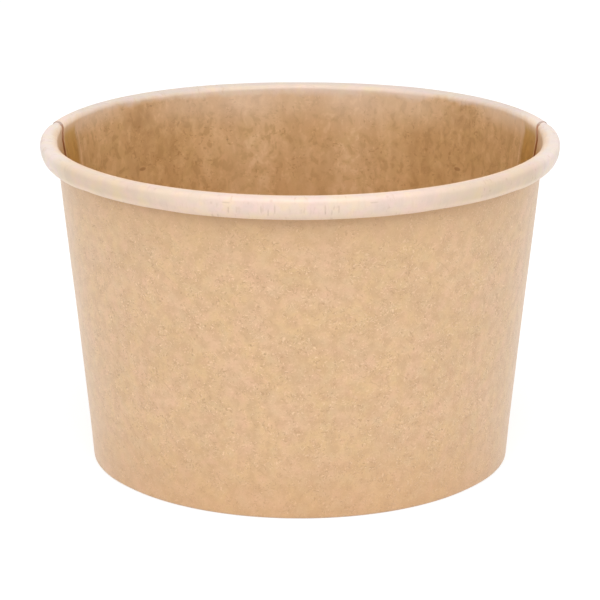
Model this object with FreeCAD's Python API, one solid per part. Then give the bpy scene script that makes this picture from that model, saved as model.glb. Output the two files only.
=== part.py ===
import FreeCAD, Part
import os
from math import acos, atan2, cos, degrees, hypot, pi, radians, sin, tan

# Soup container of kraft board, in millimetres. It is made from two blanks.
# sidewall: a fan-shaped sheet wrapped into a cone, with its two ends lapped and sealed. Its top edge
#           is rolled outwards into the rim, and its bottom edge is folded in and up as a hem.
# base:     a round sheet whose edge is turned down as a skirt, held between the wall and the hem.
# The axis is Z, the table is z = 0, and the lap is near -X. Every section is drawn in the XZ half
# plane as a path of straight and round legs, and each face of the sheet is an offset of that path.

# sizes over the whole container
height = 62.4
rim_diameter = 98.0
foot_diameter = 80.4        # where the wall's outer face would meet the table

# the sheet, and the lap that closes the cone
board = 0.35                # thickness of one layer
seam_step = 0.3             # how far the lap's outer layer stands out once it is pressed
lap_width = 9.2             # of the two layers that overlap, measured at the wall's top
joggle_width = 4.0          # over which the outer layer steps back in line, at the wall's top
seam_azimuth = 173.7        # degrees from +X to the inner layer's cut edge, and the joggle follows it

# the rolled rim: radii of its outside, which is the sheet's inner face, and the turns between them
corner_radius = 0.9         # both corners of the flat top
corner_turn = 86.0
face_radius = 3.7           # the side that a lid grips, leaning in as it comes down
face_turn = 49.0
tuck_inside_radius = 0.3    # of the last bend, inside the lap, which turns the edge up beside the wall
tuck_length = 1.0           # of the straight end after that bend
tuck_clearance = 0.12       # between that end and the lap's outer layer

# the foot
hem_inside_radius = 0.15    # of both bends that fold the sheet in and up
seal_gap = 0.05             # between the base's skirt and the layer on each side of it
base_recess = 6.5           # height of the base's underside above the table
base_corner_radius = 1.2    # outside of the bend from the disc to the skirt
skirt_end_clearance = 0.3   # between the skirt's lower edge and the folded foot
hem_end_clearance = 0.4     # between the hem's upper edge and the base's bend

ORIGIN = FreeCAD.Vector(0, 0, 0)
AXIS = FreeCAD.Vector(0, 0, 1)
rim_radius = rim_diameter / 2
foot_radius = foot_diameter / 2


def straight(length):
    return ("straight", length, 0.0)


def left(radius, turn):
    return ("bend", radius, turn)


def right(radius, turn):
    return ("bend", radius, -turn)


def offset_edges(start, heading, legs, offset):
    """Edges of the line that runs `offset` to the right of a path in the XZ plane.

    A bend's radius is the path's own. Offsetting lengthens it on a left bend and shortens it on a
    right one, so that the two faces of a sheet stay one thickness apart all along.
    """
    angle = radians(heading)
    x = start[0] + offset * sin(angle)
    z = start[1] - offset * cos(angle)
    edges = []
    for kind, size, turn in legs:
        before = FreeCAD.Vector(x, 0, z)
        if kind == "straight":
            x += size * cos(angle)
            z += size * sin(angle)
            edges.append(Part.LineSegment(before, FreeCAD.Vector(x, 0, z)).toShape())
            continue
        side = 1.0 if turn > 0 else -1.0
        radius = size + side * offset
        centre = (x - side * radius * sin(angle), z + side * radius * cos(angle))
        points = []
        for share in (0.5, 1.0):
            along = angle + radians(turn) * share
            x = centre[0] + side * radius * sin(along)
            z = centre[1] - side * radius * cos(along)
            points.append(FreeCAD.Vector(x, 0, z))
        angle += radians(turn)
        edges.append(Part.Arc(before, points[0], points[1]).toShape())
    return edges


def closed_wire(left_edges, right_edges):
    """The two faces of a sheet, joined by its cut ends."""
    start_cut = Part.LineSegment(right_edges[0].firstVertex().Point, left_edges[0].firstVertex().Point)
    end_cut = Part.LineSegment(left_edges[-1].lastVertex().Point, right_edges[-1].lastVertex().Point)
    return Part.Wire(left_edges + [end_cut.toShape()] + right_edges[::-1] + [start_cut.toShape()])


# ---- the rim's profile, from its outermost point down to the tuck

face_start = radians(corner_turn)
face_end = radians(corner_turn + face_turn)
tuck_radius = tuck_inside_radius + seam_step + board
roll_height = (corner_radius * (1 - cos(face_start))
               + face_radius * (cos(face_start) - cos(face_end))
               + tuck_radius * (1 + cos(face_end)))
tuck_x = rim_radius - face_radius * (1 - sin(face_end)) - tuck_radius * sin(face_end)
tuck_z = height - roll_height + tuck_radius

# ---- the wall leans so that its outer face runs from the foot and passes the tuck at its clearance

wall_to_tuck = tuck_radius + seam_step + tuck_clearance
reach = tuck_x - foot_radius
taper = acos(wall_to_tuck / hypot(reach, tuck_z)) - atan2(tuck_z, reach)
taper_degrees = degrees(taper)
up_wall = (sin(taper), cos(taper))
off_wall = (cos(taper), -sin(taper))


def wall_point(station, depth):
    """A point `station` up the slope from the table and `depth` in from the wall's outer face."""
    return (foot_radius + station * up_wall[0] - depth * off_wall[0],
            station * up_wall[1] - depth * off_wall[1])


def station_at(z, depth):
    """How far up the slope a line `depth` in from the wall's outer face reaches height z."""
    return (z - depth * sin(taper)) / cos(taper)


inner_corner_x = foot_radius + (corner_radius - board + (height - corner_radius) * sin(taper)) / cos(taper)
outer_corner_x = rim_radius - face_radius * (1 - sin(face_start)) - corner_radius * sin(face_start)
rim_flat = outer_corner_x - inner_corner_x
wall_top_station = (inner_corner_x - foot_radius) * sin(taper) + (height - corner_radius) * cos(taper)

# ---- the hem's fold: two equal bends on a narrow flat foot

hem_bend = hem_inside_radius + board / 2
hem_outside_radius = hem_inside_radius + board
foot_flat = (2 * board + 2 * seal_gap - 2 * hem_bend) / cos(taper)
outer_bend_station = station_at(hem_outside_radius, hem_outside_radius)
outer_bend_x = wall_point(outer_bend_station, hem_outside_radius)[0]
base_bend_z = base_recess + board - base_corner_radius
hem_top_z = base_bend_z - hem_end_clearance


def sidewall_path(shift):
    """Start, heading and legs of the middle of a layer that lies `shift` outside the plain wall.

    A shifted layer stays on the table: its foot is wider by the shift on each side, and its rim is
    rolled that much tighter.
    """
    widening = shift / cos(taper)
    inner_bend_x = outer_bend_x - foot_flat - widening
    hem_length = (hem_top_z - hem_outside_radius - hem_bend * sin(taper)) / cos(taper) + shift * tan(taper)
    start = (inner_bend_x - hem_bend * off_wall[0] + hem_length * up_wall[0],
             hem_outside_radius - hem_bend * off_wall[1] + hem_length * up_wall[1])
    wall_length = wall_top_station - outer_bend_station - shift * tan(taper)
    middle = board / 2 + shift
    legs = [straight(hem_length),
            left(hem_bend, 90 + taper_degrees),
            straight(foot_flat + 2 * widening),
            left(hem_bend, 90 - taper_degrees),
            straight(wall_length),
            right(corner_radius - middle, 90 - taper_degrees),
            straight(rim_flat),
            right(corner_radius - middle, corner_turn),
            right(face_radius - middle, face_turn),
            right(tuck_radius - middle, 270 - corner_turn - face_turn + taper_degrees),
            straight(tuck_length)]
    return start, -90 - taper_degrees, legs


def sidewall_section(inner_shift, outer_shift):
    """Closed section from the inner face of one layer to the outer face of another, or of the same."""
    inner_face = offset_edges(*sidewall_path(inner_shift), -board / 2)
    outer_face = offset_edges(*sidewall_path(outer_shift), board / 2)
    return closed_wire(inner_face, outer_face)


def swept_round(section, first, last):
    """The solid that a section sweeps about the axis between two azimuths in degrees."""
    face = Part.Face(section)
    face.rotate(ORIGIN, AXIS, first)
    return face.revolve(ORIGIN, AXIS, last - first)


def joggle(first, last, steps=6):
    """The single layer beside the inner layer's cut edge, eased from the lap's outside into line."""
    sections = []
    for step in range(steps + 1):
        share = step / steps
        shift = seam_step * (1 + cos(pi * share)) / 2
        section = sidewall_section(shift, shift)
        section.rotate(ORIGIN, AXIS, first + (last - first) * share)
        sections.append(section)
    return Part.makeLoft(sections, True, False)


def make_sidewall():
    wall_top_radius = wall_point(wall_top_station, 0)[0]
    lap_start = seam_azimuth - degrees(lap_width / wall_top_radius)
    joggle_end = seam_azimuth + degrees(joggle_width / wall_top_radius)
    lap = swept_round(sidewall_section(0, seam_step), lap_start, seam_azimuth)
    wall = swept_round(sidewall_section(0, 0), joggle_end, lap_start + 360)
    return lap.fuse([joggle(seam_azimuth, joggle_end), wall])


def make_base():
    """A disc with its edge turned down parallel to the wall, stopping short of the folded foot."""
    middle = board + seal_gap + board / 2
    bend = base_corner_radius - board / 2
    bend_station = station_at(base_bend_z, middle + bend)
    skirt_end_station = station_at(board + skirt_end_clearance, middle)
    legs = [straight(wall_point(bend_station, middle + bend)[0]),
            right(bend, 90 + taper_degrees),
            straight(bend_station - skirt_end_station)]
    path = ((0, base_recess + board / 2), 0.0, legs)
    section = closed_wire(offset_edges(*path, -board / 2), offset_edges(*path, board / 2))
    return swept_round(section, 0, 360)


os.makedirs("parts", exist_ok=True)
parts = {"sidewall": make_sidewall(), "base": make_base()}
for name, shape in parts.items():
    box = shape.BoundBox
    print(name, shape.isValid(), len(shape.Solids), len(shape.Faces), round(shape.Volume, 2))
    print("  box", [round(v, 3) for v in (box.XMin, box.YMin, box.ZMin, box.XMax, box.YMax, box.ZMax)])
    shape.exportStep("parts/" + name + ".step")
print("taper", round(taper_degrees, 3), "rim flat", round(rim_flat, 3), "foot flat", round(foot_flat, 3))
print("roll height", round(roll_height, 3), "hem top", round(hem_top_z, 3))
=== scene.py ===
from math import acos, atan2, cos, hypot, pi, radians, sin, tan

import bpy
import numpy as np
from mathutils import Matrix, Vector


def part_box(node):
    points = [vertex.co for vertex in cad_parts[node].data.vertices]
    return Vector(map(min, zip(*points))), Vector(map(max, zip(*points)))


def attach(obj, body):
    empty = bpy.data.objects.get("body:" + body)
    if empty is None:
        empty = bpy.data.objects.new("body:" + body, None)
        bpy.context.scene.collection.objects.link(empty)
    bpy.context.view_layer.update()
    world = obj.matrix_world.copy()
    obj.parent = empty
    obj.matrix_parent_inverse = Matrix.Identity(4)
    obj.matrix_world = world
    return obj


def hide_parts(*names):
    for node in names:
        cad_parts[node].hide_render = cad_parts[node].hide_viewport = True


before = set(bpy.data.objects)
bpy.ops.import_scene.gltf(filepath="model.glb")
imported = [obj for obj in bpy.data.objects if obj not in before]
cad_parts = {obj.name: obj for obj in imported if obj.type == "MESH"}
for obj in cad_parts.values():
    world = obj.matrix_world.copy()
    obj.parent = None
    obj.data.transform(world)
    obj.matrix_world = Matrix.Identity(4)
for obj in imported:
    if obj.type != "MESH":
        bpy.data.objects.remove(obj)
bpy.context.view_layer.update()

# Looks of a kraft soup container: one lapped, rolled and hemmed sheet for the side, and a base disc.
# Shapes are worked out in millimetres and made metres when they become meshes.

MM = 0.001

# ---- sizes, in mm and degrees, as the CAD has them

wall_low, wall_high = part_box("sidewall")
height = (wall_high.z - wall_low.z) / MM
rim_radius = (wall_high.x - wall_low.x) / 2 / MM
foot_radius = 40.2
board = 0.35
seam_step = 0.3
lap_width = 9.2
joggle_width = 4.0
corner_radius = 0.9
corner_turn = 86.0
face_radius = 3.7
face_turn = 49.0
tuck_inside_radius = 0.3
tuck_length = 1.0
tuck_clearance = 0.12
hem_inside_radius = 0.15
seal_gap = 0.05
base_recess = 6.5
base_corner_radius = 1.2
skirt_end_clearance = 0.3
hem_end_clearance = 0.4

# Each lap: the azimuth of its inner layer's cut edge, and the way round that its joggle goes.
laps = ((173.7, 1), (6.3, -1))

# Distances round the sheet run from the first lap, and these are at the middle of the front and of the back.
front_azimuth = 270
back_azimuth = 450
around_radius = 44
front_across = radians(front_azimuth - laps[0][0]) * around_radius
back_across = radians(back_azimuth - laps[0][0]) * around_radius

# ---- the rim's and the wall's slopes that follow from them

face_start = radians(corner_turn)
face_end = radians(corner_turn + face_turn)
tuck_radius = tuck_inside_radius + seam_step + board
roll_height = (corner_radius * (1 - cos(face_start))
               + face_radius * (cos(face_start) - cos(face_end))
               + tuck_radius * (1 + cos(face_end)))
tuck_x = rim_radius - face_radius * (1 - sin(face_end)) - tuck_radius * sin(face_end)
tuck_z = height - roll_height + tuck_radius
reach = tuck_x - foot_radius
taper = acos((tuck_radius + seam_step + tuck_clearance) / hypot(reach, tuck_z)) - atan2(tuck_z, reach)
inner_corner_x = foot_radius + (corner_radius - board + (height - corner_radius) * sin(taper)) / cos(taper)
outer_corner_x = rim_radius - face_radius * (1 - sin(face_start)) - corner_radius * sin(face_start)
rim_flat = outer_corner_x - inner_corner_x
wall_top_station = (inner_corner_x - foot_radius) * sin(taper) + (height - corner_radius) * cos(taper)
wall_top_radius = foot_radius + wall_top_station * sin(taper)
hem_bend = hem_inside_radius + board / 2
hem_outside_radius = hem_inside_radius + board
foot_flat = (2 * board + 2 * seal_gap - 2 * hem_bend) / cos(taper)
base_bend_z = base_recess + board - base_corner_radius
hem_top_z = base_bend_z - hem_end_clearance
lap_turn = np.degrees(lap_width / wall_top_radius)
joggle_turn = np.degrees(joggle_width / wall_top_radius)

# ---- how far the formed sheets stray from their plain sections, in mm

wall_bow = 0.16         # the wall drawn in between the foot and the rim, by slow waves
upper_draw = 0.09       # the upper wall and the rim drawn in, by slow waves
roll_dents = 0.05       # the roll's short dents
roll_bulge = 0.2        # the roll pushed out at both sides
side_spread = 0.12      # the upper wall pushed out at both sides
foot_spread = 0.22      # the foot pushed out between the front and both sides
lip_dips = 0.14         # the lip let down by slow waves
lip_rise = 0.34         # the lip lifted between both sides and the back
corner_sag = 0.3        # the roll's inner corner let down at the back
front_hang = 0.11       # the roll's lower edge let down at the middle of the front
side_hang = 0.2         # the roll's lower edge let down at both sides
lean_down_wall = 1.2    # degrees that a lap's edges slide round, below the roll
lean_over_roll = 5.6    # and over it
press = 0.5             # how much of the lap's step the pressed roll loses, as a share
knurl_depth = 0.045     # the tool's marks in the hem
knurl_marks = 110       # of them round the hem
floor_dome = 0.22       # the middle of the base lifted
floor_dips = 0.05       # the base's slow waves

# Where these hold, from where each starts to where it is whole, and for some on to where it fades and ends.
# Ways round are degrees from the middle of the front.
spread_sides = (54, 70, 92, 106)
bulging_sides = (67, 78, 84, 96)
hanging_sides = (54, 60, 84, 96)
foot_corners = (50, 66, 74, 88)
past_hanging_front = (24, 31)
past_level_front = (62, 76)             # the lip is level up to there
past_unlifted_sides = (76, 94)
lift_top, lift_end = 114, 178           # the lip's lift falls as a sine from the one to the other
sagging_back = (126, 144)
less_sag = (166, 179)                   # and it is less by this share:
sag_lost = 0.55
# Heights are mm above the table, and ways over the roll are mm along the sheet from the wall's top.
bow_low = 7
upper_wall = (14, 58)
spread_wall = (25, 50)
straight_above_foot = (0.5, 8.5)
roll_start = (-0.5, 2.5)
roll_lower_edge = (3.0, 5.5)
sagging_corner = (-6.0, -0.5, 0.9, 3.0)
pressed_roll = (-1.0, 1.2, 5.0, 8.0)
leaning_wall = (0.5, 6.0)               # this one down the wall
leaning_roll = (-0.9, 2.2)
past_lean = (6.0, 24.0)                 # degrees from a lap's cut edge
knurled_hem = (0.5, 1.1, 3.9, 4.6)      # mm from the hem's edge

# ---- how finely the surfaces are sampled

# Samples on each leg of the side's section: hem, bend, foot, bend, wall, and the rim's corner, flat, corner,
# face, tuck and the tuck's straight end.
side_samples = (7, 7, 2, 6, 34, 7, 3, 7, 11, 12, 2)
corner_row = sum(side_samples[:5])      # the sample at the wall's top
side_sections = 440                     # round the container, evenly, besides the closer ones at the laps
base_samples = (26, 9, 8)               # disc, bend and skirt
base_sections = 288
hub_radius = 1.2                        # of the fan in the middle of the base
sharp_angle = 38                        # degrees, above which an edge isn't shaded smooth
food_side_place = 40                    # keeps the patterns on the two faces of a sheet apart


def station_at(z, depth):
    """How far up the slope a line `depth` in from the wall's outer face reaches height z."""
    return (z - depth * sin(taper)) / cos(taper)


def wall_point(station, depth):
    """A point `station` up the slope from the table and `depth` in from the wall's outer face."""
    return (foot_radius + station * sin(taper) - depth * cos(taper),
            station * cos(taper) + depth * sin(taper))


# ---- shape: numpy surfaces

def ease(value, start, end):
    """0 before start and 1 after end, eased between them as 3t^2 - 2t^3."""
    t = np.clip((value - start) / (end - start), 0, 1)
    return t * t * (3 - 2 * t)


def span(value, start, whole, fading, end):
    """0 up to start, 1 from whole to fading, 0 again from end: one eased step times what a second leaves."""
    return ease(value, start, whole) * (1 - ease(value, fading, end))


def unevenness(angle, waves, seed):
    """Between 0 and 1: the weighted mean of one raised cosine for each number of waves in a turn."""
    random = np.random.default_rng(seed)
    total = 0.0
    weights = 0.0
    for count in waves:
        weight = random.uniform(0.5, 1.0)
        total = total + weight * (1 + np.cos(count * angle + random.uniform(0, 2 * pi))) / 2
        weights += weight
    return total / weights


def degrees_past(azimuth, start):
    """How far azimuth is past start, the short way round, between -180 and 180."""
    return (azimuth - start + 180) % 360 - 180


def follow(start, heading, legs, samples, offset):
    """Points `offset` to the right of a path, as radius, height and distance gone along the path.

    A straight leg's point is its start plus the distance gone times the heading's direction. A bend's
    point is its centre plus a radius turned through the angle gone, and the offset adds to the radius of
    a left bend and is taken from a right one's. Each array has a row for a sample, a column for a section.
    """
    x = start[0] + offset * sin(heading)
    z = start[1] - offset * cos(heading)
    gone = x * 0
    rows = [[x[None], z[None], gone[None]]]
    for (size, turn), steps in zip(legs, samples):
        share = np.arange(1, steps + 1)[:, None] / steps
        if turn == 0:
            step = size * share
            rows.append([x + step * cos(heading), z + step * sin(heading), gone + step])
        else:
            side = np.sign(turn)
            radius = size + side * offset
            angle = heading + turn * share
            centre_x = x - side * radius * sin(heading)
            centre_z = z + side * radius * cos(heading)
            rows.append([centre_x + side * radius * np.sin(angle), centre_z - side * radius * np.cos(angle),
                         gone + size * abs(turn) * share])
            heading += turn
        x, z, gone = (values[-1] for values in rows[-1])
    return [np.concatenate(parts) for parts in zip(*rows)]


def sheet_side(shift, offset):
    """One face of the side's sheet, where its layer stands out by `shift`, from the hem's edge to the rim's.

    The path goes down the hem, round the foot's two bends, up the wall and over the rim's corner, flat,
    corner, face and tuck.
    """
    widening = shift / cos(taper)
    bend_station = station_at(hem_outside_radius, hem_outside_radius)
    bend_x = wall_point(bend_station, hem_outside_radius)[0] - foot_flat - widening
    plain_length = (hem_top_z - hem_outside_radius - hem_bend * sin(taper)) / cos(taper)
    hem_length = plain_length + shift * tan(taper)
    start = (bend_x - hem_bend * cos(taper) + hem_length * sin(taper),
             hem_outside_radius + hem_bend * sin(taper) + hem_length * cos(taper))
    middle = board / 2 + shift
    legs = [(hem_length, 0),
            (hem_bend, pi / 2 + taper),
            (foot_flat + 2 * widening, 0),
            (hem_bend, pi / 2 - taper),
            (wall_top_station - bend_station - shift * tan(taper), 0),
            (corner_radius - middle, taper - pi / 2),
            (rim_flat, 0),
            (corner_radius - middle, -face_start),
            (face_radius - middle, face_start - face_end),
            (tuck_radius - middle, face_end - 1.5 * pi - taper),
            (tuck_length, 0)]
    return follow(start, -pi / 2 - taper, legs, side_samples, offset)


def past_cut_edge(azimuth):
    """Degrees past the nearest lap's cut edge towards its joggle, and below 0 over the lap."""
    turns = [way * degrees_past(azimuth, edge) for edge, way in laps]
    return np.where(np.abs(turns[0]) < np.abs(turns[1]), turns[0], turns[1])


def layer_shifts(azimuth):
    """How far the food side and the outside stand out from the plain wall at each azimuth.

    Past the cut edge both come back in as half a cosine wave. Before it only the outside stands out, by the
    whole step, as far as the lap goes.
    """
    past = past_cut_edge(azimuth)
    joggle = seam_step * (1 + np.cos(pi * np.clip(past / joggle_turn, 0, 1))) / 2
    return np.where(past > 0, joggle, 0.0), np.where(past > -lap_turn, joggle, 0.0)


def section_azimuths():
    """Evenly spaced sections, with closer ones on both sides of each cut edge and over each joggle."""
    beside_edge = np.array([-0.45, -0.15, -0.02, 0.02, 0.15, 0.45])
    over_joggle = np.linspace(0.9, joggle_turn, 7)
    closest = 0.3       # that an even one may lie to a closer one
    closer = []
    for edge, way in laps:
        for cut in (edge, edge - way * lap_turn):
            closer.append(cut + beside_edge)
        closer.append(edge + way * over_joggle)
    closer = np.concatenate(closer) % 360
    even = np.arange(0, 360, 360 / side_sections)
    azimuth = np.unique(np.concatenate([even, closer]))
    apart = np.min(np.abs(azimuth[:, None] - closer[None]), axis=1)
    return azimuth[(apart < 1e-9) | (apart > closest)]


def turned_round(radius, angle, z):
    """The points (r cos a, r sin a, z), one row for each."""
    return np.stack([radius * np.cos(angle), radius * np.sin(angle), z], -1).reshape(-1, 3)


def ring_faces(rows, columns, closed=False):
    """Quads between each ring of points and the next, and from the last ring to the first when closed."""
    ring = np.arange(rows if closed else rows - 1)[:, None]
    here, there = ring * columns, (ring + 1) % rows * columns
    column = np.arange(columns)
    beside = (column + 1) % columns
    return np.stack([here + column, here + beside, there + beside, there + column], -1).reshape(-1, 4)


def add_mesh(name, points, face_groups, attributes):
    """Makes an object at the origin from points in mm, faces and named values on its points or faces."""
    mesh = bpy.data.meshes.new(name)
    mesh.from_pydata((points * MM).tolist(), [], sum((group.tolist() for group in face_groups), []))
    for key, (kind, domain, values) in attributes.items():
        layer = mesh.attributes.new(key, kind, domain)
        field = "vector" if kind == "FLOAT_VECTOR" else "value"
        layer.data.foreach_set(field, values.astype(np.float32).ravel())
    mesh.polygons.foreach_set("use_smooth", np.ones(len(mesh.polygons), bool))
    mesh.set_sharp_from_angle(angle=radians(sharp_angle))
    mesh.update()
    piece = bpy.data.objects.new(name, mesh)
    bpy.context.scene.collection.objects.link(piece)
    return piece


def foot_flare(z, azimuth):
    """How far the foot is pushed out: an eased way round times an eased step down the lowest few mm."""
    from_front = np.abs(degrees_past(azimuth, front_azimuth))
    return foot_spread * span(from_front, *foot_corners) * (1 - ease(z, *straight_above_foot))


def settle(radius, z, along, azimuth):
    """The sheet's small unevenness after forming.

    The radius loses a squared sine up the wall times slow waves round it, slow waves of the upper wall, and
    the roll's short dents, and it grows by eased ways round at both sides and at the foot. The height loses
    slow waves of the lip, except at the front, and gains a sine of the angle from the back. The roll's inner
    corner sags at the back and its lower edge hangs at the front and at both sides, by eased steps.
    """
    angle = np.radians(azimuth)
    from_front = np.abs(degrees_past(azimuth, front_azimuth))
    roll = ease(along, *roll_start)
    lower = ease(along, *roll_lower_edge)
    upper = ease(z, *upper_wall)
    sides = span(from_front, *spread_sides)

    bow = np.sin(pi * np.clip((z - bow_low) / (height - bow_low), 0, 1)) ** 2
    bow = bow * unevenness(angle[None] + 0.012 * z, (2, 3, 5, 7), 11)
    draw = upper * unevenness(angle, (2, 3, 5, 8), 23)
    dents = roll * unevenness(angle + 0.05 * along, (19, 27, 38, 53), 31)
    radius = radius - (wall_bow * bow + upper_draw * draw) * (1 - sides) - roll_dents * dents
    radius = radius + roll_bulge * roll * span(from_front, *bulging_sides)
    radius = radius + side_spread * sides * ease(z, *spread_wall) * (1 - roll) + foot_flare(z, azimuth)

    level = (1 - ease(from_front, *past_level_front)) * (1 - lower)
    crest = np.sin(pi / 2 * np.clip((lift_end - from_front) / (lift_end - lift_top), 0, 1))
    crest = crest * ease(from_front, *past_unlifted_sides)
    dips = upper * unevenness(angle, (2, 3, 4, 7, 9), 47) * (1 - level) * (1 - crest)
    sag = ease(from_front, *sagging_back) * (1 - sag_lost * ease(from_front, *less_sag))
    sag = sag * span(along, *sagging_corner)
    hang = front_hang * (1 - ease(from_front, *past_hanging_front))
    hang = hang + side_hang * span(from_front, *hanging_sides)
    z = z - lip_dips * dips - corner_sag * sag + lip_rise * upper * crest - hang * lower
    return radius, z


def lean(along, azimuth):
    """Degrees that each point slides round the axis, so that a lap's edges lean over the roll.

    The slide grows by an eased step down the wall and by a second one over the roll, and it dies away by
    an eased step of the angle from the cut edge, so that the rest of the sheet stays where it is.
    """
    slide = lean_down_wall * ease(-along, *leaning_wall) + lean_over_roll * ease(along, *leaning_roll)
    total = along * 0
    for edge, way in laps:
        apart = np.abs(degrees_past(azimuth, edge))
        total = total - way * slide * (1 - ease(apart, *past_lean))
    return total


def make_side():
    """The sheet's section carried round the axis, its outside first and then its food side back down.

    Over the roll each point comes part of the way back from its layer's step, because the roll is pressed
    flat, and the hem has the tool's marks as a raised cosine round it.
    """
    azimuth = section_azimuths()
    food_shift, outside_shift = layer_shifts(azimuth)
    faces = []
    for shift, offset in ((outside_shift, board / 2), (food_shift, -board / 2)):
        radius, z, gone = sheet_side(shift, offset)
        plain_radius, plain_z = sheet_side(shift * 0, offset)[:2]
        along = gone - gone[corner_row]
        pressed = press * span(along, *pressed_roll)
        radius = radius + pressed * (plain_radius - radius)
        z = z + pressed * (plain_z - z)
        radius, z = settle(radius, z, along, azimuth)
        knurl = span(gone, *knurled_hem) * (1 + np.cos(knurl_marks * np.radians(azimuth))) / 2
        faces.append((radius - knurl_depth * knurl, z, along))
    radius, z, along = (np.concatenate([outside, food[::-1]]) for outside, food in zip(*faces))
    rows, columns = radius.shape
    half = rows // 2
    points = turned_round(radius, np.radians(azimuth + lean(along, azimuth)), z)

    food = np.repeat([0.0, 1.0], half)[:, None] * np.ones(columns)
    around = np.radians((azimuth - laps[0][0]) % 360) * around_radius * np.ones((rows, 1))
    seam = np.radians(past_cut_edge(azimuth)) * wall_top_radius * np.ones((rows, 1))
    cut = np.zeros((rows, columns))
    cut[[half - 1, rows - 1]] = 1
    for first, last, shift in ((0, half - 1, outside_shift), (half, rows - 1, food_shift)):
        step = np.abs(np.roll(shift, -1) - shift) > seam_step / 2
        cut[first:last, step] = 1
    return add_mesh("rolled_side", points, [ring_faces(rows, columns, closed=True)], {
        "sheet": ("FLOAT_VECTOR", "POINT", np.stack([around, along, food * food_side_place], -1)),
        "food_side": ("FLOAT", "POINT", food),
        "from_seam": ("FLOAT", "POINT", seam),
        "cut_edge": ("FLOAT", "FACE", cut)})


def make_base():
    """A disc with a turned-down edge: its profile, from the middle of the food side out, down the skirt and
    back to the middle of the underside, carried round the axis and closed by a fan at each middle.

    The disc is domed by a squared parabola of the radius and dips by a half sine of it times slow waves.
    """
    azimuth = np.arange(base_sections) * 360 / base_sections
    angle = np.radians(azimuth)
    middle = board + seal_gap + board / 2
    bend = base_corner_radius - board / 2
    bend_station = station_at(base_bend_z, middle + bend)
    skirt_end_station = station_at(board + skirt_end_clearance, middle)
    floor_radius = wall_point(bend_station, middle + bend)[0]
    start = (np.full(base_sections, hub_radius), np.full(base_sections, base_recess + board / 2))
    legs = [(floor_radius - hub_radius, 0),
            (bend, -pi / 2 - taper),
            (bend_station - skirt_end_station, 0)]
    faces = []
    for offset in (-board / 2, board / 2):
        radius, z, gone = follow(start, 0.0, legs, base_samples, offset)
        share = np.clip(radius / floor_radius, 0, 1)
        radius = radius + foot_flare(z, azimuth) * ease(share, 0.7, 1.0)
        dips = np.sin(pi * share) * unevenness(angle + share, (2, 3, 5), 5)
        dome = floor_dome * (1 - share ** 2) ** 2 - floor_dips * dips
        faces.append((radius, z + np.where(gone < floor_radius - hub_radius, dome, 0), gone + hub_radius))
    radius, z, gone = (np.concatenate([food, under[::-1]]) for food, under in zip(*faces))
    rows, columns = radius.shape
    points = turned_round(radius, angle, z)
    points = np.concatenate([points, [[0, 0, z[0].mean()], [0, 0, z[-1].mean()]]])

    column = np.arange(columns)
    beside = (column + 1) % columns
    last = (rows - 1) * columns
    top_middle = np.full(columns, rows * columns)
    face_groups = [ring_faces(rows, columns)[:, ::-1],
                   np.stack([column, beside, top_middle], -1),
                   np.stack([last + beside, last + column, top_middle + 1], -1)]

    food = np.repeat([1.0, 0.0], rows // 2)[:, None] * np.ones(columns)
    sheet = np.concatenate([turned_round(gone, angle, food * food_side_place),
                            [[0, 0, food_side_place], [0, 0, 0]]])
    cut = np.zeros((rows - 1, columns))
    cut[rows // 2 - 1] = 1
    return add_mesh("base_disc", points, face_groups, {
        "sheet": ("FLOAT_VECTOR", "POINT", sheet),
        "food_side": ("FLOAT", "POINT", np.concatenate([food.ravel(), [1, 0]])),
        "cut_edge": ("FLOAT", "FACE", np.concatenate([cut.ravel(), np.zeros(2 * columns)]))})


# ---- finishes: shader maths written as Python

def paint(red, green, blue):
    """A screen colour, 0 to 255, as the linear colour that a shader takes."""
    share = np.array([red, green, blue]) / 255
    linear = np.where(share <= 0.04045, share / 12.92, ((share + 0.055) / 1.055) ** 2.4)
    return (*linear.tolist(), 1.0)


def tint(red, green, blue):
    """A colour that multiplies what is under it, with the word for that."""
    return (red, green, blue, 1.0), "MULTIPLY"


class Signal:
    """A number, colour or vector on its way through a finish. Sums written with it add Math nodes."""

    def __init__(self, finish, socket):
        self.finish = finish
        self.socket = socket

    def math(self, operation, *values):
        return self.finish.node("ShaderNodeMath", {"operation": operation}, list(values))

    def __add__(self, other):
        return self.math("ADD", self, other)

    __radd__ = __add__

    def __sub__(self, other):
        return self.math("SUBTRACT", self, other)

    def __rsub__(self, other):
        return self.math("SUBTRACT", other, self)

    def __mul__(self, other):
        return self.math("MULTIPLY", self, other)

    __rmul__ = __mul__

    def __abs__(self):
        return self.math("ABSOLUTE", self)

    def larger(self, other):
        return self.math("MAXIMUM", self, other)

    def ease(self, start, end):
        """0 at start and 1 at end, eased between them, for start above or below end."""
        return self.finish.node("ShaderNodeMapRange", {"interpolation_type": "SMOOTHSTEP"}, {
            "Value": self, "From Min": start, "From Max": end, "To Min": 0.0, "To Max": 1.0})


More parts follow.
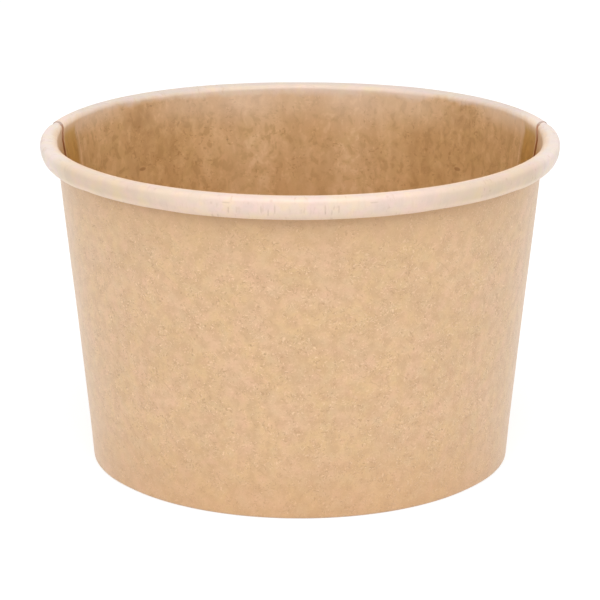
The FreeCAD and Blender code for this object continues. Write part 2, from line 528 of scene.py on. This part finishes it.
class Finish:
    """A material, or the room's light, being built from nodes."""

    def __init__(self, owner):
        owner.use_nodes = True
        self.owner = owner
        self.tree = owner.node_tree
        self.tree.nodes.clear()

    def node(self, kind, settings=None, inputs=None, output=0):
        """Adds a node, sets it, gives its sockets values or signals, and returns one output as a signal."""
        node = self.tree.nodes.new(kind)
        for key, value in (settings or {}).items():
            setattr(node, key, value)
        pairs = inputs.items() if isinstance(inputs, dict) else enumerate(inputs or [])
        for key, value in pairs:
            if isinstance(value, Signal):
                self.tree.links.new(value.socket, node.inputs[key])
            else:
                node.inputs[key].default_value = value
        return Signal(self, node.outputs[output]) if node.outputs else None

    def stored(self, name, output="Fac"):
        """A value that the mesh carries."""
        return self.node("ShaderNodeAttribute", {"attribute_name": name}, output=output)

    def noise(self, place, size, detail=2.0, rough=0.5, warp=0.0, output=0):
        """Noise whose blobs are about `size` mm across."""
        return self.node("ShaderNodeTexNoise", {}, {
            "Vector": place, "Scale": 1 / size, "Detail": detail, "Roughness": rough,
            "Distortion": warp}, output)

    def vector(self, operation, *values):
        return self.node("ShaderNodeVectorMath", {"operation": operation}, list(values))

    def moved(self, place, across, along):
        """Place moved in the sheet's plane, so that a second noise differs from the first."""
        return self.vector("ADD", place, (across, along, 0.0))

    def scaled(self, place, across, along):
        """Place scaled in the sheet's plane. A number below 1 makes a pattern longer that way."""
        return self.vector("MULTIPLY", place, (across, along, 1.0))

    def blend(self, share, start, end, how="MIX"):
        """From the colour start to the colour end."""
        return self.node("ShaderNodeMix", {"data_type": "RGBA", "blend_type": how},
                         {0: share, 6: start, 7: end}, output=2)

    def layered(self, colour, layers):
        """Lays each (share, colour) over the colour so far. A tint says how it is laid as well."""
        for share, *layer in layers:
            colour = self.blend(share, colour, *layer)
        return colour

    def fibres(self, place, across, long, angles, coverage):
        """Short hairs lying several ways: the largest of one thresholded streak pattern for each angle."""
        hairs = None
        for number, degrees in enumerate(angles):
            turned = self.node("ShaderNodeVectorRotate", {"rotation_type": "Z_AXIS"},
                               {"Vector": place, "Angle": radians(degrees)})
            streaks = self.vector("ADD", self.scaled(turned, 1 / across, 1 / long),
                                  (7.3 * number, 3.1, 1.7 * number))
            layer = self.noise(streaks, 1.0, 1.0).ease(1 - coverage, 1 - coverage + 0.07)
            hairs = layer if hairs is None else hairs.larger(layer)
        return hairs

    def specks(self, place, spacing, size, share):
        """Round specks of up to `size` mm, in a share of the cells of a net `spacing` mm wide."""
        net = {"Vector": place, "Scale": 1 / spacing}
        apart = self.node("ShaderNodeTexVoronoi", {}, net)
        chance = self.node("ShaderNodeTexVoronoi", {}, net, output="Color")
        present = self.node("ShaderNodeSeparateColor", {}, [chance]).ease(1 - share, 1 - share + 0.08)
        return present * apart.ease(size / spacing, 0.35 * size / spacing)


def kraft(finish, place):
    """Uncoated kraft: colour and relief. A ground in pinkish and olive tans, with light and dark flecks that
    crowd together in places, a few longer hairs and specks."""
    curl = finish.vector("SUBTRACT", finish.noise(place, 1.1, 1.0, output="Color"), (0.5, 0.5, 0.5))
    curled = finish.vector("ADD", place, finish.vector("MULTIPLY", curl, (0.9, 0.9, 0.0)))
    clouds = finish.noise(place, 12.0)
    warmth = finish.noise(finish.moved(place, 50.0, 20.0), 6.0)
    tans = finish.noise(finish.moved(place, 20.0, 50.0), 2.8, 1.0, 0.4)
    blots = finish.noise(place, 2.2)
    grain = finish.noise(place, 0.45, 2.0, 0.6)
    crowd = 0.35 + 0.65 * finish.noise(finish.moved(place, 80.0, 10.0), 4.0, 2.0, 0.6).ease(0.38, 0.6)
    light = finish.fibres(curled, 0.34, 0.7, (5, 48, 95, 140), 0.35) * crowd
    dark = finish.fibres(curled, 0.30, 0.85, (25, 72, 118, 165), 0.34) * crowd
    hairs = finish.fibres(curled, 0.26, 3.0, (35, 128), 0.31)
    specks = finish.specks(place, 2.6, 0.3, 0.35)
    colour = finish.layered(paint(218, 181, 140), [
        (clouds.ease(0.35, 0.65), paint(227, 187, 149)),
        (warmth.ease(0.34, 0.66) * 0.75, paint(224, 187, 136)),
        (tans.ease(0.5, 0.7) * 0.33, paint(211, 182, 141)),
        (tans.ease(0.5, 0.3) * 0.33, paint(230, 182, 150)),
        (blots.ease(0.38, 0.66) * 0.58, paint(205, 164, 123)),
        (grain.ease(0.3, 0.72) * 0.16, paint(203, 165, 125)),
        (light * 0.68, paint(246, 210, 170)),
        (dark * 0.7, paint(192, 150, 109)),
        (hairs * 0.4, paint(188, 148, 108)),
        (specks * 0.45, paint(160, 118, 78))])
    return colour, grain * 0.5 + light * 0.6 + blots * 0.4 - dark * 0.5


def food_side(finish, place):
    """Lined kraft: colour, relief and gloss. Blots both ways, faint upright bands, flecks, a clear lining."""
    blots = finish.noise(finish.scaled(place, 1.0, 0.7), 1.7, 2.5, 0.55, 0.4)
    tans = finish.noise(finish.moved(place, 20.0, 50.0), 3.4, 1.5)
    bands = finish.noise(finish.scaled(place, 1.0, 0.22), 3.2)
    clouds = finish.noise(place, 13.0)
    grain = finish.noise(place, 0.45, 2.0, 0.6)
    crowd = finish.noise(finish.moved(place, 80.0, 10.0), 5.0, 2.0, 0.6).ease(0.42, 0.6)
    light = finish.fibres(place, 0.4, 0.9, (20, 85, 150), 0.33) * crowd
    dark = finish.fibres(place, 0.6, 1.2, (70, 100, 5), 0.35) * crowd
    specks = finish.specks(place, 3.4, 0.3, 0.35)
    colour = finish.layered(paint(217, 177, 129), [
        (clouds.ease(0.35, 0.65), paint(207, 165, 115)),
        (tans.ease(0.5, 0.68) * 0.26, paint(204, 170, 112)),
        (tans.ease(0.5, 0.32) * 0.26, paint(219, 175, 130)),
        (blots.ease(0.51, 0.65) * 0.62, paint(184, 144, 92)),
        (blots.ease(0.48, 0.33) * 0.46, paint(232, 194, 148)),
        (bands.ease(0.45, 0.7) * 0.45, paint(190, 148, 99)),
        (grain.ease(0.35, 0.7) * 0.08, paint(190, 148, 99)),
        (light * 0.4, paint(236, 196, 146)),
        (dark * 0.45, paint(164, 118, 62)),
        (specks * 0.5, paint(128, 90, 50))])
    return colour, blots * 0.6 + bands * 0.5 + grain * 0.25, 0.40 + blots * 0.16


def rolled_rim(finish, place, along, from_front, from_back):
    """The lining stretched over the roll: pink, cream and grey patches, fine streaks, short creases, specks.

    Painted shade makes the top a little darker than the face, and darkens the roll beside the front, at the
    back and in its creases. The face and the inner lip are warmer, painted sheen makes both sides paler and
    greyer, and painted light brightens the inner corner at the back.
    """
    patches = finish.noise(place, 3.2)
    casts = finish.noise(finish.moved(place, 30.0, 60.0), 2.6, 2.5)
    greys = finish.noise(finish.moved(place, 60.0, 30.0), 6.0)
    streaks = finish.noise(finish.scaled(place, 1.0, 0.25), 0.5, 2.0, 0.6)
    grain = finish.noise(place, 0.5, 2.0, 0.6)
    groups = finish.noise(finish.scaled(place, 1.0, 0.6), 4.5, 1.0)
    # Short creases: grooves in the relief, darkened in colour by painted shade.
    creases = streaks.ease(0.58, 0.66) * groups.ease(0.5, 0.62)
    specks = finish.specks(place, 2.0, 0.34, 0.35)
    # Painted shade: the roll darker and tanner either side of the front.
    painted_shade_beside_front = from_front.ease(12.0, 34.0) * from_front.ease(55.0, 44.0)
    painted_shade_beside_front = painted_shade_beside_front * (0.45 + 0.55 * along.ease(2.0, 4.2)) * (1 - 0.95 * along.ease(5.2, 6.3))
    # Painted sheen: both sides of the roll paler and greyer, where it is seen edge-on.
    sides = from_front.ease(44.0, 55.0) * from_front.ease(92.0, 70.0) * along.ease(0.2, 1.4)
    # Painted shade: the back of the roll darker and greyer.
    back = from_back.ease(62.0, 50.0) * along.ease(4.4, 3.2)
    # Painted light: the inner corner at the back paler, where it turns away from the lamps.
    painted_light_back_corner = (along.ease(0.9, 0.1) * from_back.ease(44.0, 30.0)).larger(
        along.ease(2.2, 0.5) * from_back.ease(24.0, 16.0))
    front_lip = along.ease(0.6, 0.8) * along.ease(1.5, 1.1) * from_front.ease(66.0, 48.0)
    colour = finish.layered(paint(246, 215, 206), [
        (patches.ease(0.33, 0.67), paint(241, 221, 197)),
        (casts.ease(0.5, 0.68) * 0.6, paint(250, 224, 186)),
        (casts.ease(0.5, 0.32) * 0.6, paint(232, 209, 199)),
        (greys.ease(0.45, 0.75) * 0.5, paint(228, 210, 196)),
        # painted shade: the top of the roll darker than its face
        (along.ease(5.8, 3.2) * 0.4, paint(218, 192, 176)),
        (along.ease(4.2, 7.0) * 0.5, paint(243, 215, 182)),
        (painted_shade_beside_front, *tint(0.845, 0.83, 0.75)),
        (sides, *tint(0.985, 1.07, 1.15)),
        (back, *tint(0.86, 0.91, 0.94)),
        (streaks.ease(0.5, 0.8) * 0.3, paint(222, 192, 166)),
        (grain.ease(0.5, 0.8) * 0.3, paint(222, 196, 174)),
        (creases * 0.26, paint(196, 164, 138)),
        (specks * 0.25, paint(190, 158, 130)),
        (painted_light_back_corner, *tint(1.12, 1.09, 1.0)),
        (front_lip * 0.6, paint(250, 217, 182))])
    return colour, streaks * 0.5 + patches * 0.8 + grain * 0.2 - creases * 0.8


relief_depth = 0.06         # mm
kraft_roughness = 0.36


def finish_surface(finish, colour, relief, inside, gloss):
    """Puts colour and relief on a board, as rough as plain kraft outside and as `gloss` says inside."""
    bump = finish.node("ShaderNodeBump", {}, {
        "Strength": 1.0, "Distance": relief_depth * MM, "Height": relief})
    roughness = (1 - inside) * kraft_roughness + inside * gloss
    shader = finish.node("ShaderNodeBsdfPrincipled", {}, {
        "IOR": 1.55, "Coat Weight": 0.15, "Coat Roughness": 0.3,
        "Base Color": colour, "Roughness": roughness, "Normal": bump})
    finish.node("ShaderNodeOutputMaterial", {}, [shader])
    return finish.owner


def fleck(across, along, at, size):
    """1 over a soft-edged oval `size` mm across and high, centred `at` mm round and along the sheet."""
    apart_across = (across - at[0]) * (1 / size[0])
    apart_along = (along - at[1]) * (1 / size[1])
    return (apart_across * apart_across + apart_along * apart_along).ease(0.25, 0.06)


# Marks of the board and of the roll: mm from the middle of the back or of the front, mm along, mm wide, mm
# high, and how strong.
food_side_marks = ((35.2, -13.8, 2.1, 0.9, 0.6), (35.6, -3.2, 9.0, 6.5, 0.16))
# The roll's marks are short creases with no relief: their darker colour is painted shade.
rim_crease_shade = ((3.95, 4.6, 0.34, 1.9, 0.3), (6.1, 4.7, 0.34, 1.7, 0.3), (11.7, 3.8, 1.7, 0.3, 0.3),
             (5.0, 5.2, 0.26, 1.4, 0.3))


def side_board():
    """Kraft outside, lined food side, cream rim, sealed lap and raw cut edges.

    All distances here are mm: round the sheet from the middle of the front or of the back, along it from the
    wall's top, with the roll above 0, and round it from the nearest lap's cut edge.
    """
    finish = Finish(bpy.data.materials.new("side_board"))
    place = finish.stored("sheet", "Vector")
    across, along = (finish.node("ShaderNodeSeparateXYZ", {}, [place], output=axis) for axis in (0, 1))
    from_front = abs(across - front_across)
    from_back = abs(across - back_across)
    inside = finish.stored("food_side")
    seam = finish.stored("from_seam")
    cut = finish.stored("cut_edge")
    outer_colour, outer_relief = kraft(finish, place)
    inner_colour, inner_relief, inner_gloss = food_side(finish, place)
    rim_colour, rim_relief = rolled_rim(finish, place, along, from_front, from_back)

    # The shade under the rim, its darkest strip, and the shade above the foot.
    outer_colour = finish.layered(outer_colour, [
        (along.ease(-14.0, -3.0) * 0.45, paint(216, 174, 127)),
        (along.ease(-5.2, -4.0) * 0.25, paint(182, 142, 100)),
        (along.ease(-45.0, -63.0) * (0.45 - 0.16 * from_front.ease(35.0, 52.0)), paint(209, 163, 115))])

    # Where the roll's cream begins: a line that wanders just under the inner corner.
    wander = (finish.noise(place, 9.0) - 0.5) * 3.0 + (finish.noise(place, 1.2) - 0.5) * 1.0
    wander = wander + from_back.ease(30.0, 20.0) * 0.4
    wander = wander - from_back.ease(22.0, 32.0) * 0.4 - from_back.ease(60.0, 66.0) * 0.4
    rolled = (along + wander).ease(-1.0, 0.8)

    # A painted reflection under the roll at the back and a paler strip under the lip elsewhere, painted shade
    # that deepens the brown further down and darkens the sides, painted light on the paler strips of the
    # back, and then the lap: its sealed band and its far edge.
    painted_reflection_and_pale_top = along.ease(-9.5, -1.0) * from_back.ease(36.0, 22.0) * 0.4
    painted_reflection_and_pale_top = painted_reflection_and_pale_top + along.ease(-4.0, -0.3) * from_back.ease(36.0, 46.0) * 0.5
    sealed = seam.ease(-0.3, -0.9) * seam.ease(-8.0, -7.0) * along.ease(0.4, -1.6)
    inner_colour = finish.layered(inner_colour, [
        (painted_reflection_and_pale_top, paint(232, 206, 180)),
        # painted shade: the brown deeper further down the inside
        (along.ease(-12.0, -24.0) * 0.3, paint(196, 150, 94)),
        # painted shade: the sides of the inside darker
        (from_back.ease(16.0, 25.0) * along.ease(-2.0, -9.0), *tint(0.90, 0.86, 0.76)),
        # painted light: the paler strips of the back
        (from_back.ease(3.0, 9.0) * from_back.ease(18.5, 12.0), *tint(1.07, 1.12, 1.22)),
        (sealed, *tint(0.78, 0.67, 0.33)),
        (seam.ease(-9.3, -8.9) * seam.ease(-8.2, -8.6) * 0.35, paint(232, 192, 152))])
    inner_colour = finish.layered(inner_colour, [
        (fleck(from_back, along, (apart, up), (wide, high)) * share, paint(140, 92, 42))
        for apart, up, wide, high, share in food_side_marks])
    rim_colour = finish.layered(rim_colour, [
        (fleck(from_front, along, (apart, up), (wide, high)) * share, paint(186, 156, 128))
        for apart, up, wide, high, share in rim_crease_shade])

    # The lap's cut edge is a dark line inside and a paler one over the roll: its faces take the raw edge's
    # colour, and the thin strip on both sides of it is partly that colour and partly painted shade from the
    # step.
    over_roll = along.ease(0.2, 1.4)
    edge_and_step_shade = finish.blend(over_roll, paint(136, 78, 40), paint(176, 150, 138))
    inner_colour = finish.layered(inner_colour, [
        (rolled, rim_colour),
        (abs(seam).ease(0.18, 0.05) * 0.6, edge_and_step_shade)])
    raw = finish.blend(over_roll, paint(156, 100, 56), paint(186, 158, 144))
    colour = finish.layered(outer_colour, [(inside, inner_colour), (cut, raw)])
    relief = outer_relief * (1 - inside) + inner_relief * inside * (1 - rolled) + rim_relief * inside * rolled
    return finish_surface(finish, colour, relief, inside, inner_gloss - sealed * 0.12 + rolled * 0.06)


def base_board():
    """The base's board: lined on the food side, plain kraft underneath."""
    finish = Finish(bpy.data.materials.new("base_board"))
    place = finish.stored("sheet", "Vector")
    inside = finish.stored("food_side")
    outer_colour, outer_relief = kraft(finish, place)
    inner_colour, inner_relief, gloss = food_side(finish, place)
    colour = finish.layered(outer_colour, [
        (inside, inner_colour),
        (finish.stored("cut_edge"), paint(150, 108, 70))])
    relief = outer_relief * (1 - inside) + inner_relief * inside
    return finish_surface(finish, colour, relief, inside, gloss)


# ---- the container

side = make_side()
side.data.materials.append(side_board())
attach(side, "root")
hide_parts("sidewall")

base = make_base()
base.data.materials.append(base_board())
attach(base, "root")
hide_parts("base")


# ---- table, light and camera, in metres

table_reach = 4.0
table_drop = 0.00004        # the table's top under the foot
table_grey = 0.8            # as it sends light back to the container
shadow_grey = 0.42          # as it is seen: this much takes the shadow,
table_glow = 0.70           # and this much light is added to it
room_glow = 0.63

# Each lamp: name, place, width and power in watts. All of them face the middle of the container.
lamps = (("lamp_above", (0, -0.45, 0.75), 0.6, 4.0),
         ("lamp_left", (-0.95, -0.30, 0.30), 0.6, 1.2),
         ("lamp_right", (0.95, -0.30, 0.30), 0.6, 1.2))
lamp_target = Vector((0, 0, 0.035))

camera_place = (0, -0.50184, 0.17912)
camera_down = 16.584        # degrees under level
camera_lens = 162.56        # mm, on a sensor 36 mm wide
camera_sensor = 36


def white_to_the_eye(finish, lit, seen):
    """The shader `seen` for camera, mirror and glass rays, and `lit` for the light on the container."""
    camera, mirror, glass = (finish.node("ShaderNodeLightPath", output=ray)
                             for ray in ("Is Camera Ray", "Is Glossy Ray", "Is Transmission Ray"))
    return finish.node("ShaderNodeMixShader", {}, [camera.larger(mirror).larger(glass), lit, seen])


def make_table():
    """A wide pale table just under the foot. It takes the container's shadow, and elsewhere looks white."""
    far = table_reach
    corners = [(x, y, -table_drop) for x, y in ((-far, -far), (far, -far), (far, far), (-far, far))]
    mesh = bpy.data.meshes.new("table")
    mesh.from_pydata(corners, [], [(0, 1, 2, 3)])
    table = bpy.data.objects.new("table", mesh)
    bpy.context.scene.collection.objects.link(table)
    finish = Finish(bpy.data.materials.new("white_table"))
    plain = finish.node("ShaderNodeBsdfDiffuse", {}, {"Color": (table_grey, table_grey, table_grey, 1)})
    pale = finish.node("ShaderNodeBsdfDiffuse", {}, {"Color": (shadow_grey, shadow_grey, shadow_grey, 1)})
    glow = finish.node("ShaderNodeEmission", {}, {"Strength": table_glow})
    both = finish.node("ShaderNodeAddShader", {}, [pale, glow])
    finish.node("ShaderNodeOutputMaterial", {}, [white_to_the_eye(finish, plain, both)])
    mesh.materials.append(finish.owner)


def make_light():
    """An even white room, with a wide soft lamp above the front and one at each side."""
    world = bpy.data.worlds.new("white_room")
    bpy.context.scene.world = world
    finish = Finish(world)
    room = finish.node("ShaderNodeBackground", {}, {"Strength": room_glow, "Color": (1, 1, 1, 1)})
    white = finish.node("ShaderNodeBackground", {}, {"Color": (1, 1, 1, 1)})
    finish.node("ShaderNodeOutputWorld", {}, [white_to_the_eye(finish, room, white)])
    for name, place, width, power in lamps:
        lamp = bpy.data.lights.new(name, "AREA")
        lamp.size = width
        lamp.energy = power
        holder = bpy.data.objects.new(name, lamp)
        holder.location = place
        holder.rotation_euler = (lamp_target - Vector(place)).to_track_quat("-Z", "Y").to_euler()
        bpy.context.scene.collection.objects.link(holder)


def make_camera():
    """In front of the container and above it, looking down a little, through a long lens."""
    camera = bpy.data.cameras.new("camera")
    camera.lens = camera_lens
    camera.sensor_width = camera_sensor
    camera.clip_start = 0.01
    camera.clip_end = 50
    holder = bpy.data.objects.new("camera", camera)
    holder.location = camera_place
    holder.rotation_euler = (radians(90 - camera_down), 0, 0)
    bpy.context.scene.collection.objects.link(holder)
    bpy.context.scene.camera = holder


make_table()
make_light()
make_camera()
bpy.context.scene.view_settings.view_transform = "Standard"
